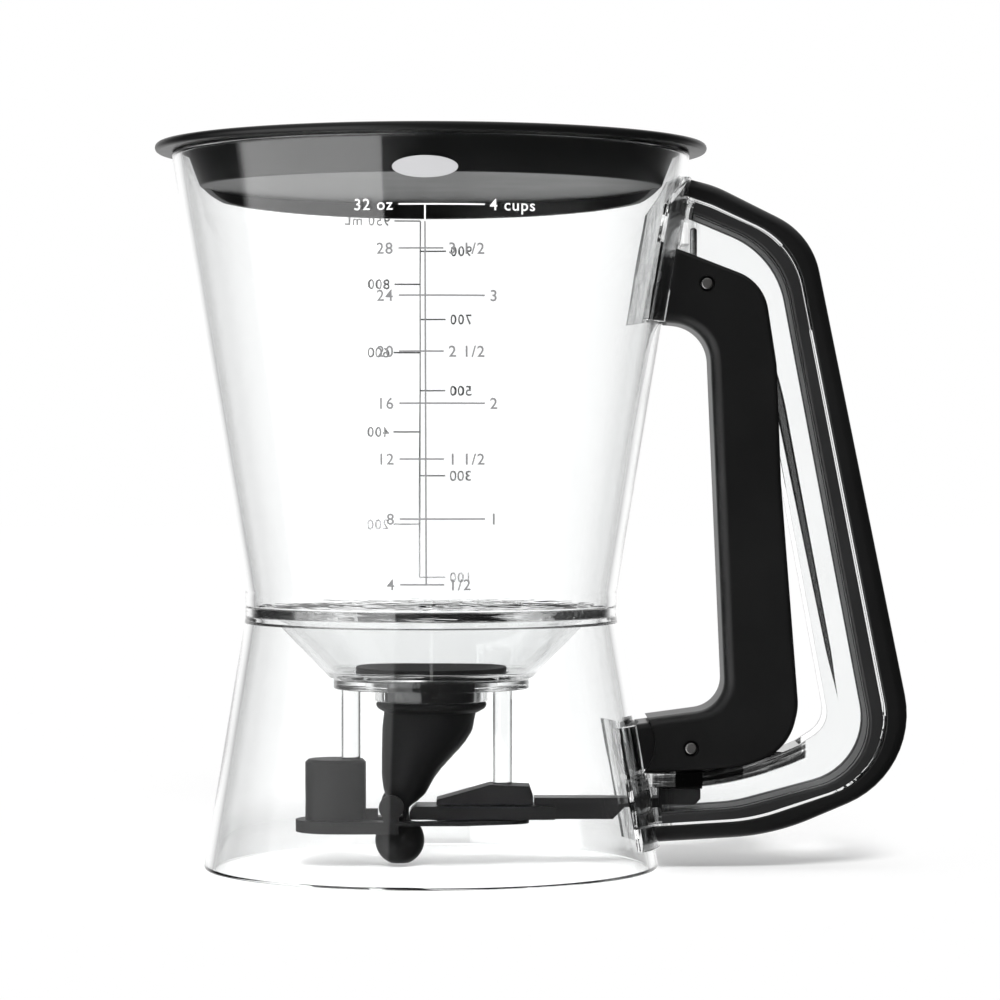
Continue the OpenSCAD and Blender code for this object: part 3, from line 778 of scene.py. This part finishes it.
silicone = moulded(
    "black silicone",
    (0.0024, 0.0024, 0.0025),
    (0.0038, 0.0038, 0.0040),
    0.50,
    0.6,
    0.008,
    gloss=0.12,
)
valve_bag = piece("valve_bag", valve_shape, silicone, None, "valve", crease=50)
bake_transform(valve_bag)

# ---------------------------------------------------------------------------------------------
# Valve plate. A thick black plate that hangs on the bowl's two posts: its hub takes the left
# post, its guide block the right one. The anvil rod for the pinched tube lies across it. It is
# moulded in one piece with a fine matt grain.


def cad_copy(node):
    """A copy of a CAD node's mesh."""
    mesh = bmesh.new()
    mesh.from_mesh(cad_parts[node].data)
    bmesh.ops.remove_doubles(mesh, verts=mesh.verts, dist=0.002 * MM)
    return mesh


def refined(node, edge):
    """A copy of a CAD node with its flat faces made whole and its sharp edges rounded, in mm."""
    flat, sharp = math.radians(0.5), math.radians(38)
    mesh = cad_copy(node)
    bmesh.ops.dissolve_limit(mesh, angle_limit=flat, verts=mesh.verts, edges=mesh.edges)
    corners = [e for e in mesh.edges if len(e.link_faces) == 2 and e.calc_face_angle() > sharp]
    rounded(mesh, corners, edge * MM, 2, "EDGES", clamp=True)
    bmesh.ops.remove_doubles(mesh, verts=mesh.verts, dist=0.002 * MM)
    return mesh


matt_black = moulded(
    "matt black plastic",
    (0.0045, 0.0045, 0.0046),
    (0.0070, 0.0070, 0.0072),
    0.46,
    0.4,
    0.008,
    gloss=0.15,
)
plate = refined("carrier_plate", 0.35)
piece("valve_plate", plate, matt_black, "jar", "carrier_plate")

# ---------------------------------------------------------------------------------------------
# Pull bar. A flat black slide under the guide block. Its blade pinches the valve shut, and the
# arm behind the skirt is drawn back by the trigger. Moulded in glass-filled nylon.

bar = refined("pull_bar", 0.35)
piece("slide_bar", bar, satin_black, "slider", "pull_bar")

# ---------------------------------------------------------------------------------------------
# Handle frame. One clear moulding: two saddles that lie on the jar, the web that carries the
# grip, two thin side plates with the pivot pin's holes and a curved shelf across them.

# The shelf is an arc in side view, given by its centre, inner radius, thickness and ends
shelf_x, shelf_z, shelf_r, shelf_t = 60.7, 107.2, 82.5, 3.5
shelf_start_x, shelf_end_x = 57.9, 95.1
# The line down the side plate goes through line_x at line_z, and leans back as it rises
line_x, line_z, line_lean, line_low, line_high = 95.05, 95, 0.197, 43, 141
# A height just under the upper saddle, and how far the hopper leans out for each mm of height
high_saddle_z, hopper_lean = 137, 0.165


def painted_shade_and_dark_line(nodes, place):
    """Where the handle's plastic is darker.

    It has painted shade along the shelf and painted grey shade in the two saddles, where dark
    parts would show through the clear plastic, and a long dark line down the near side plate.
    """
    x, y, z = (place.along(axis) * (1 / MM) for axis in "XYZ")

    # Painted shade along the shelf, where dark parts would show through the clear plastic
    out = nodes.math("SQRT", (x - shelf_x) * (x - shelf_x) + (z - shelf_z) * (z - shelf_z))
    on_shelf = out.step(shelf_r - 0.9, shelf_r - 0.5)
    on_shelf = on_shelf * (1 - out.step(shelf_r + shelf_t, shelf_r + shelf_t + 0.4))
    on_shelf = on_shelf * (1 - x.step(shelf_end_x + 1.3, shelf_end_x + 1.9))
    on_shelf = on_shelf * x.step(shelf_start_x - 0.5, shelf_start_x)
    turn = nodes.math("ARCTAN2", x - shelf_x, shelf_z - z)
    run = nodes.node("CombineXYZ", {}, {0: out * 1.5, 1: turn * 7, 2: y * 0.05}).noise(1, 4)
    dark = on_shelf * (1 - run.step(0.50, 0.74))

    middle = line_x - (z - line_z) * line_lean
    half = (z - 44) * 0.0105 + 0.5
    ends = z.step(line_low, line_low + 15) * (1 - z.step(line_high - 23, line_high))
    share = nodes.math("DIVIDE", nodes.math("ABSOLUTE", x - middle), half * ends + 0.001)
    line = (1 - share.step(0.9, 1.1)) * (1 - y.step(-0.5, 0.5))
    core = 1 - share.step(0.45, 0.7)

    # Painted grey shade in the two saddles, where dark parts would show through the clear plastic
    mottle = nodes.node("CombineXYZ", {}, {0: x * 1.5, 1: y * 0.5, 2: z * 0.10}).noise(1, 5)
    low_saddle = (1 - z.step(45.0, 46.5)) * (1 - x.step(61.5, 63.5))
    low_saddle = low_saddle * (1 - nodes.math("ABSOLUTE", y).step(19, 22))
    from_hopper = x - (z - high_saddle_z) * hopper_lean
    high_saddle = z.step(high_saddle_z - 1, high_saddle_z + 2) * (1 - from_hopper.step(63.5, 65.5))
    saddle_shade = low_saddle * (0.62 - mottle.step(0.46, 0.56) * 0.55)
    saddle_shade = saddle_shade + high_saddle * (0.26 - mottle.step(0.44, 0.58) * 0.20)

    shade = (1 - dark * 0.97) * (1 - line * (0.995 - core * 0.09)) * (1 - saddle_shade)
    return nodes.node("CombineColor", {}, {0: shade, 1: shade, 2: shade})


# The handle's clear plastic carries the painted shade worked out above
clear_frame = clear_plastic("clear handle plastic", (0.91, 0.915, 0.915), 0.10, painted_shade_and_dark_line)
shell = refined("handle_frame", 0.25)
piece("handle_shell", shell, clear_frame, "jar", "handle_frame")

# ---------------------------------------------------------------------------------------------
# Handle grip. A soft black rubber strip moulded over the outside of the web, with rounded edges
# and a dry matt surface.

# Corners of the handle's outermost and innermost line: x, z and bend radius in mm
outer_line = [
    (50, 6.9, 0),
    (88.3, 9.2, 60),
    (126.2, 25.2, 25),
    (98.1, 163.7, 20),
    (73.3, 176.1, 30),
    (58, 180.1, 0),
]
inner_line = [
    (50, 14.4, 0),
    (79.1, 16.2, 40),
    (115.3, 25.9, 17),
    (90.1, 159.4, 23),
    (71.6, 167.2, 20),
    (58, 172.8, 0),
]
# Shares of the way from the outermost line to the innermost: the grip's inside and the web's,
# and the gap that the strips leave to the web
grip_share, web_share, share_gap = 0.56, 0.64, 0.004
handle_half, grip_off_jar = 13, 1.95


def between(one, two, share):
    """The line of corners at that share of the way from one line to the other."""
    return [tuple(a + (b - a) * share for a, b in zip(p, q)) for p, q in zip(one, two)]


def bent(line):
    """A line of corners as points, with each bend an arc of 12 steps."""
    steps = 12
    points = [Vector(line[0][:2])]
    for before, corner, after in zip(line, line[1:], line[2:]):
        at, radius = Vector(corner[:2]), corner[2]
        back = (Vector(before[:2]) - at).normalized()
        on = (Vector(after[:2]) - at).normalized()
        half = back.angle(on) / 2
        centre = at + (back + on).normalized() * radius / math.sin(half)
        first = at + back * radius / math.tan(half) - centre
        last = at + on * radius / math.tan(half) - centre
        sweep = first.angle_signed(last)
        for i in range(steps + 1):
            points.append(centre + Matrix.Rotation(-sweep * i / steps, 2) @ first)
    return points + [Vector(line[-1][:2])]


def slab(outline, y0, y1, rounds):
    """A slab from y0 to y1 with that outline in x and z, in mm.

    rounds has, for each set of long edges to round, how far, in how many steps and which.
    """
    # A fold is a sharp one from this angle on, in radians
    sharp = 1.2
    mesh = bmesh.new()
    verts = [mesh.verts.new((p[0] * MM, y0 * MM, p[1] * MM)) for p in outline]
    face = mesh.faces.new(verts)
    grown(mesh, [face], (0, (y1 - y0) * MM, 0))
    bmesh.ops.recalc_face_normals(mesh, faces=mesh.faces)
    for round_off, segments, chosen in rounds:
        edges = [
            e
            for e in mesh.edges
            if abs(e.verts[0].co.y - e.verts[1].co.y) < 0.01 * MM
            and e.calc_face_angle(0) > sharp
            and chosen((e.verts[0].co + e.verts[1].co) / 2 / MM)
        ]
        rounded(mesh, edges, round_off * MM, segments, "EDGES", clamp=True)
    tidied(mesh)
    return mesh


def near(line):
    """A test of whether a place lies on that line of points, seen from the side."""
    reach = 0.4

    def test(point):
        spot = Vector((point.x, point.z))
        for a, b in zip(line, line[1:]):
            along = b - a
            share = max(0.0, min(1.0, (spot - a).dot(along) / along.length_squared))
            if (spot - a - along * share).length < reach:
                return True
        return False

    return test


def jar_space(gap):
    """All the space within the jar's outer surface, grown by gap."""
    low, high = -3, 190
    outline = [
        (0, low, 0),
        (skirt_r(low) + gap, low, 0),
        (waist_r + gap, waist_z, 0),
        (waist_r + gap, neck_z, 0),
        (hopper_r(high) + gap, high, 0),
        (0, high, 0),
    ]
    return turned(outline, steps=128)


def band(low, high, y0, y1, outer_round, inner_round):
    """The handle's strip between two shares, with its long edges rounded."""
    outer = bent(between(outer_line, inner_line, low))
    inner = bent(between(outer_line, inner_line, high))
    rounds = [(outer_round, 6, near(outer)), (inner_round, 3, near(inner))]
    return slab(outer + inner[::-1], y0, y1, rounds)


soft_rubber = moulded(
    "soft black rubber",
    (0.0026, 0.0026, 0.0027),
    (0.0040, 0.0040, 0.0041),
    0.42,
    0.5,
    0.010,
    gloss=0.42,
)
grip_band = band(0, grip_share - share_gap, -handle_half, handle_half, 2.6, 0.5)
piece(
    "rubber_grip",
    combined(grip_band, "DIFFERENCE", jar_space(grip_off_jar)),
    soft_rubber,
    "jar",
    "handle_grip",
)

# ---------------------------------------------------------------------------------------------
# Grip liner. Three black strips on the inside of the web, between and beside the side plates,
# held together by small pins of their own rubber through the plates.

plate_out, plate_in, plate_gap = 8.7, 6.5, 0.06
tie_r, tie_half, liner_off_jar = 0.9, 9.2, 4.1
# Room for the stop that the spring's upper leg leans on
stop_room = (61.8, 66.9, -handle_half - 0.2, handle_half + 0.2, 161.4, 167.6)


def across(x, z, radius, half, steps=40):
    """A round bar along y in mm, that far to both sides of the middle."""
    mesh = turned([(0, -half, 0), (radius, -half, 0), (radius, half, 0), (0, half, 0)], steps)
    bmesh.ops.rotate(
        mesh, verts=mesh.verts, cent=(0, 0, 0), matrix=Matrix.Rotation(-math.pi / 2, 3, "X")
    )
    bmesh.ops.translate(mesh, vec=(x * MM, 0, z * MM), verts=mesh.verts)
    return mesh


plate_low, plate_high = plate_in - plate_gap, plate_out + plate_gap
strips = bmesh.new()
for y0, y1, inner_round in (
    (-handle_half, -plate_high, 0.9),
    (-plate_low, plate_low, 0.5),
    (plate_high, handle_half, 0.9),
):
    strip = combined(
        band(web_share + share_gap, 1, y0, y1, 0.35, inner_round),
        "DIFFERENCE",
        jar_space(liner_off_jar),
        block(*stop_room),
    )
    merged(strips, strip)
tie_line = between(outer_line, inner_line, (web_share + 1) / 2)
for share in (0.25, 0.45, 0.65, 0.85):
    tie_x, tie_z, _ = between([tie_line[2]], [tie_line[3]], share)[0]
    merged(strips, across(tie_x, tie_z, tie_r, tie_half, steps=24))
liner_rubber = moulded(
    "liner rubber", (0.010, 0.010, 0.0103), (0.014, 0.014, 0.0144), 0.46, 0.5, 0.010, gloss=0.4
)
piece("liner_strips", strips, liner_rubber, "jar", "grip_liner")

# ---------------------------------------------------------------------------------------------
# Trigger. A hard black shell, open at the back, that straddles the side plates and turns on the
# upper pin. A soft skin is moulded over its sides and its well rounded finger side.

pivot_x, pivot_z, drive_x, drive_z = 71.1, 151.0, 67.0, 31.5
finger_line = [
    (50, 141.9, 0),
    (71.7, 140.1, 10),
    (75.9, 42.0, 8),
    (53, 38.9, 0),
]
back_line = [
    (53, 24.9, 0),
    (79.8, 26.5, 22),
    (92, 30.8, 14),
    (94.7, 42, 14),
    (90.2, 100, 60),
    (89.1, 130, 30),
    (85.8, 151.4, 12),
    (50, 165.3, 0),
]


def moved(line, distance):
    """A line of corners moved to its left, with its bend radii changed to suit."""
    ends = [Vector(p[:2]) for p in line]
    lefts = []
    for a, b in zip(ends, ends[1:]):
        along = (b - a).normalized()
        lefts.append((Vector((-along.y, along.x)), along))
    out = []
    for i, corner in enumerate(line):
        before = lefts[max(i - 1, 0)]
        after = lefts[min(i, len(lefts) - 1)]
        bend = before[1].cross(after[1])
        shift = distance * (before[0] + after[0]) / (1 + before[0].dot(after[0]))
        turn = 0 if abs(bend) < 1e-6 else math.copysign(1, bend)
        radius = max(corner[2] - turn * distance, 0.5)
        out.append((corner[0] + shift.x, corner[1] + shift.y, radius))
    return out


def trigger_slab(front, rear, half, front_round, rear_round=0):
    """The trigger's form, moved in by front at its finger side and by rear at its back."""
    finger, back = bent(moved(finger_line, front)), bent(moved(back_line, rear))
    rounds = [(front_round, 8, near(finger))]
    if rear_round:
        rounds.append((rear_round, 4, near(back)))
    return slab(finger + back, -half, half, rounds)


skin_half, core_half, hollow_half, finger_round = 11.8, 10.4, 9.1, 3.0
skin_t, both_t, layer_gap, past_back = 1.2, 2.8, 0.02, -6
# The long edges at the back are rounded too, and the shell's back is set in from the skin's
skin_back_round, core_back_round, core_set_in = 1.2, 0.3, 1
# Bores for the two pins: a wide one in the skin, and close ones in the shell
skin_bore_r, pivot_bore_r, drive_bore_r = 2.1, 1.53, 1.475
skin_off_jar, core_off_jar = 1.4, 1.2
# The skin's lower end stops short of the jar in a hollow arc
arc_x, arc_z, arc_r = 46.5, 33, 11.3
skin_shape = combined(
    trigger_slab(0, 0, skin_half, finger_round, skin_back_round),
    "DIFFERENCE",
    trigger_slab(skin_t, past_back, core_half + layer_gap, finger_round - skin_t),
    jar_space(skin_off_jar),
    across(arc_x, arc_z, arc_r, handle_half),
    across(pivot_x, pivot_z, skin_bore_r, handle_half),
    across(drive_x, drive_z, skin_bore_r, handle_half),
)
piece("trigger_skin", skin_shape, soft_rubber, "trigger", "trigger_grip")
core_shape = combined(
    trigger_slab(
        skin_t + layer_gap, core_set_in, core_half, finger_round - skin_t, core_back_round
    ),
    "DIFFERENCE",
    trigger_slab(both_t, past_back, hollow_half, finger_round - both_t),
    jar_space(core_off_jar),
    across(pivot_x, pivot_z, pivot_bore_r, handle_half),
    across(drive_x, drive_z, drive_bore_r, handle_half),
)
piece("trigger_shell", core_shape, satin_black, "trigger", "trigger_core")

# ---------------------------------------------------------------------------------------------
# Pins and spring. Two turned steel pins with broken edges, and a coil spring of drawn steel wire
# round the upper pin that pushes the trigger back.


def steel_finish(name, colour, roughness, scale):
    """Drawn or turned steel with fine marks along Y."""
    material, nodes = new_finish(name)
    place = nodes.node("TexCoord", output="Object")
    stretched = nodes.node("Mapping", {}, {"Vector": place, "Scale": (scale, scale * 0.06, scale)})
    marks = stretched.noise(1, 3)
    shader = nodes.node(
        "BsdfPrincipled",
        {},
        {
            "Base Color": marks.step(0.3, 0.7).tint([0.85 * c for c in colour], colour),
            "Metallic": 1.0,
            "Roughness": marks * 0.15 + roughness,
            "Normal": marks.bump(0.004, 0.6),
        },
    )
    nodes.node("OutputMaterial", sockets={"Surface": shader})
    return material


pin_steel = steel_finish("pin steel", (0.52, 0.51, 0.50), 0.28, 4000)
spring_steel = steel_finish("spring steel", (0.78, 0.78, 0.78), 0.22, 3000)
piece("pivot", refined("pivot_pin", 0.3), pin_steel, "jar", "pivot_pin")
piece("drive", refined("drive_pin", 0.3), pin_steel, "trigger", "drive_pin")
# The spring is a copy of the CAD node's mesh, left in place on no body.
coil = cad_copy("return_spring")
spring = piece("spring", coil, spring_steel, None, "return_spring")
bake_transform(spring)

# ---------------------------------------------------------------------------------------------
# Studio. A white floor and a white surround, a bank of lights high in front, and a tall softbox
# on the left whose straight edge shows in the hopper. Black flags draw the clear outlines.

floor_half = 6
floor_shape = bmesh.new()
bmesh.ops.create_grid(floor_shape, x_segments=2, y_segments=2, size=floor_half)
floor_data = bpy.data.meshes.new("floor")
floor_shape.to_mesh(floor_data)
floor_shape.free()
floor = bpy.data.objects.new("floor", floor_data)
bpy.context.scene.collection.objects.link(floor)

# The floor glows a little, and more from fade_from to fade_to metres away from the object, so
# that the shadow soon fades
fade_from, fade_to, glow, far_glow = 0.10, 0.15, 0.3, 0.6
floor_finish, nodes = new_finish("white floor")
seen = nodes.node("LightPath", output="Is Camera Ray")
through = nodes.node("LightPath", output="Is Transmission Ray")
place = nodes.node("TexCoord", output="Object")
away = nodes.node("VectorMath", {"operation": "LENGTH"}, {0: place}, output="Value")
white = nodes.node(
    "MixShader",
    {},
    {
        0: (seen + through) * (glow + away.step(fade_from, fade_to) * far_glow),
        1: nodes.node("BsdfDiffuse", {}, {"Color": (0.96, 0.96, 0.96, 1)}),
        2: nodes.node("Emission", {}, {"Color": (1, 1, 1, 1), "Strength": 1.0}),
    },
)
# Seen through the clear walls the surround takes the place of the floor's far part, and of all
# of the floor where the light was mirrored inside them
mirrored_once = nodes.math("LESS_THAN", 0.5, nodes.node("LightPath", output="Glossy Depth"))
gone = through * nodes.math("MAXIMUM", mirrored_once, away.step(0.09, 0.30))
surface = nodes.node("MixShader", {}, {0: gone, 1: white, 2: nodes.node("BsdfTransparent")})
nodes.node("OutputMaterial", sockets={"Surface": surface})
floor_data.materials.append(floor_finish)
floor.visible_glossy = False

world = bpy.data.worlds.new("studio")
bpy.context.scene.world = world
world.use_nodes = True
world.node_tree.nodes.clear()
nodes = Wire(world.node_tree)
direction = nodes.node("TexCoord", output="Generated")
# Degrees round from the front: negative to the left, positive to the right. rise is the sine
# of the height above the horizon.
bearing = nodes.math("ARCTAN2", direction.along("X"), 0 - direction.along("Y")) * (180 / math.pi)
around = nodes.math("ABSOLUTE", bearing)
rise = direction.along("Z")

# The softbox is brightest below the horizon
softbox = bearing.step(-96, -90) * (1 - bearing.step(-22, -20.5))
softbox_level = 2.4 - rise.step(-0.05, 0.05) * 1.7
behind = around.step(135, 158)
overhead = rise.step(0.5, 0.85) * 0.8
# Black flags at the sides draw the outlines of the bowl and posts, and of the walls' own edges
walls_passed = nodes.node("LightPath", output="Transmission Depth")
tilt = nodes.math("ABSOLUTE", rise)
flags = nodes.math("MAXIMUM", 1 - tilt.step(0.06, 0.12), rise.step(0.30, 0.45))
flags = flags * (1 - around.step(125, 150)) * walls_passed.step(4.4, 5.6)
edge_flags = (1 - around.step(70, 100)) * (1 - walls_passed.step(2.4, 3.6))
flags = nodes.math("MAXIMUM", flags, edge_flags)
beyond = (1 - flags * around.step(20, 50) * 0.9) * 1.3
mirrored = nodes.math("MAXIMUM", softbox * softbox_level, behind + overhead + 0.04)


def if_ray(kind, yes, no):
    """One value for that kind of ray and another for the rest."""
    mask = nodes.node("LightPath", output=kind)
    return mask * yes + (1 - mask) * no


ambient = 0.45
level = if_ray("Is Glossy Ray", mirrored, ambient)
# Light that was mirrored inside the clear walls sees the studio, and the rest the white surround
mirrored_once = nodes.math("LESS_THAN", 0.5, nodes.node("LightPath", output="Glossy Depth"))
behind_walls = mirrored_once * mirrored + (1 - mirrored_once) * beyond
level = if_ray("Is Transmission Ray", behind_walls, level)
level = if_ray("Is Camera Ray", 1.0, level)
sky = nodes.node("Background", {}, {"Color": (1, 1, 1, 1), "Strength": level})
nodes.node("OutputWorld", sockets={"Surface": sky})

sun = bpy.data.lights.new("overhead bank", "SUN")
sun.energy = 3.3
sun.angle = math.radians(14)
sun_object = bpy.data.objects.new("overhead bank", sun)
sun_object.rotation_euler = Vector((0.0, 1.35, -1.0)).to_track_quat("-Z", "Y").to_euler()
sun_object.visible_glossy = False
bpy.context.scene.collection.objects.link(sun_object)

# The camera stands nearly level with the jar's middle and looks down by less than a degree
camera_data = bpy.data.cameras.new("camera")
camera_data.lens = 138.06
camera_data.sensor_width = 36
camera_data.clip_end = 30
camera = bpy.data.objects.new("camera", camera_data)
camera.location = (0.0179, -0.997, 0.1031)
camera.rotation_euler = (math.radians(90 - 0.448), 0, 0)
bpy.context.scene.collection.objects.link(camera)
bpy.context.scene.camera = camera

# Light has to pass many clear walls before it comes out
cycles = bpy.context.scene.cycles
cycles.max_bounces = 64
cycles.transmission_bounces = 64
cycles.glossy_bounces = 64
cycles.transparent_max_bounces = 32
bpy.context.scene.view_settings.view_transform = "Standard"
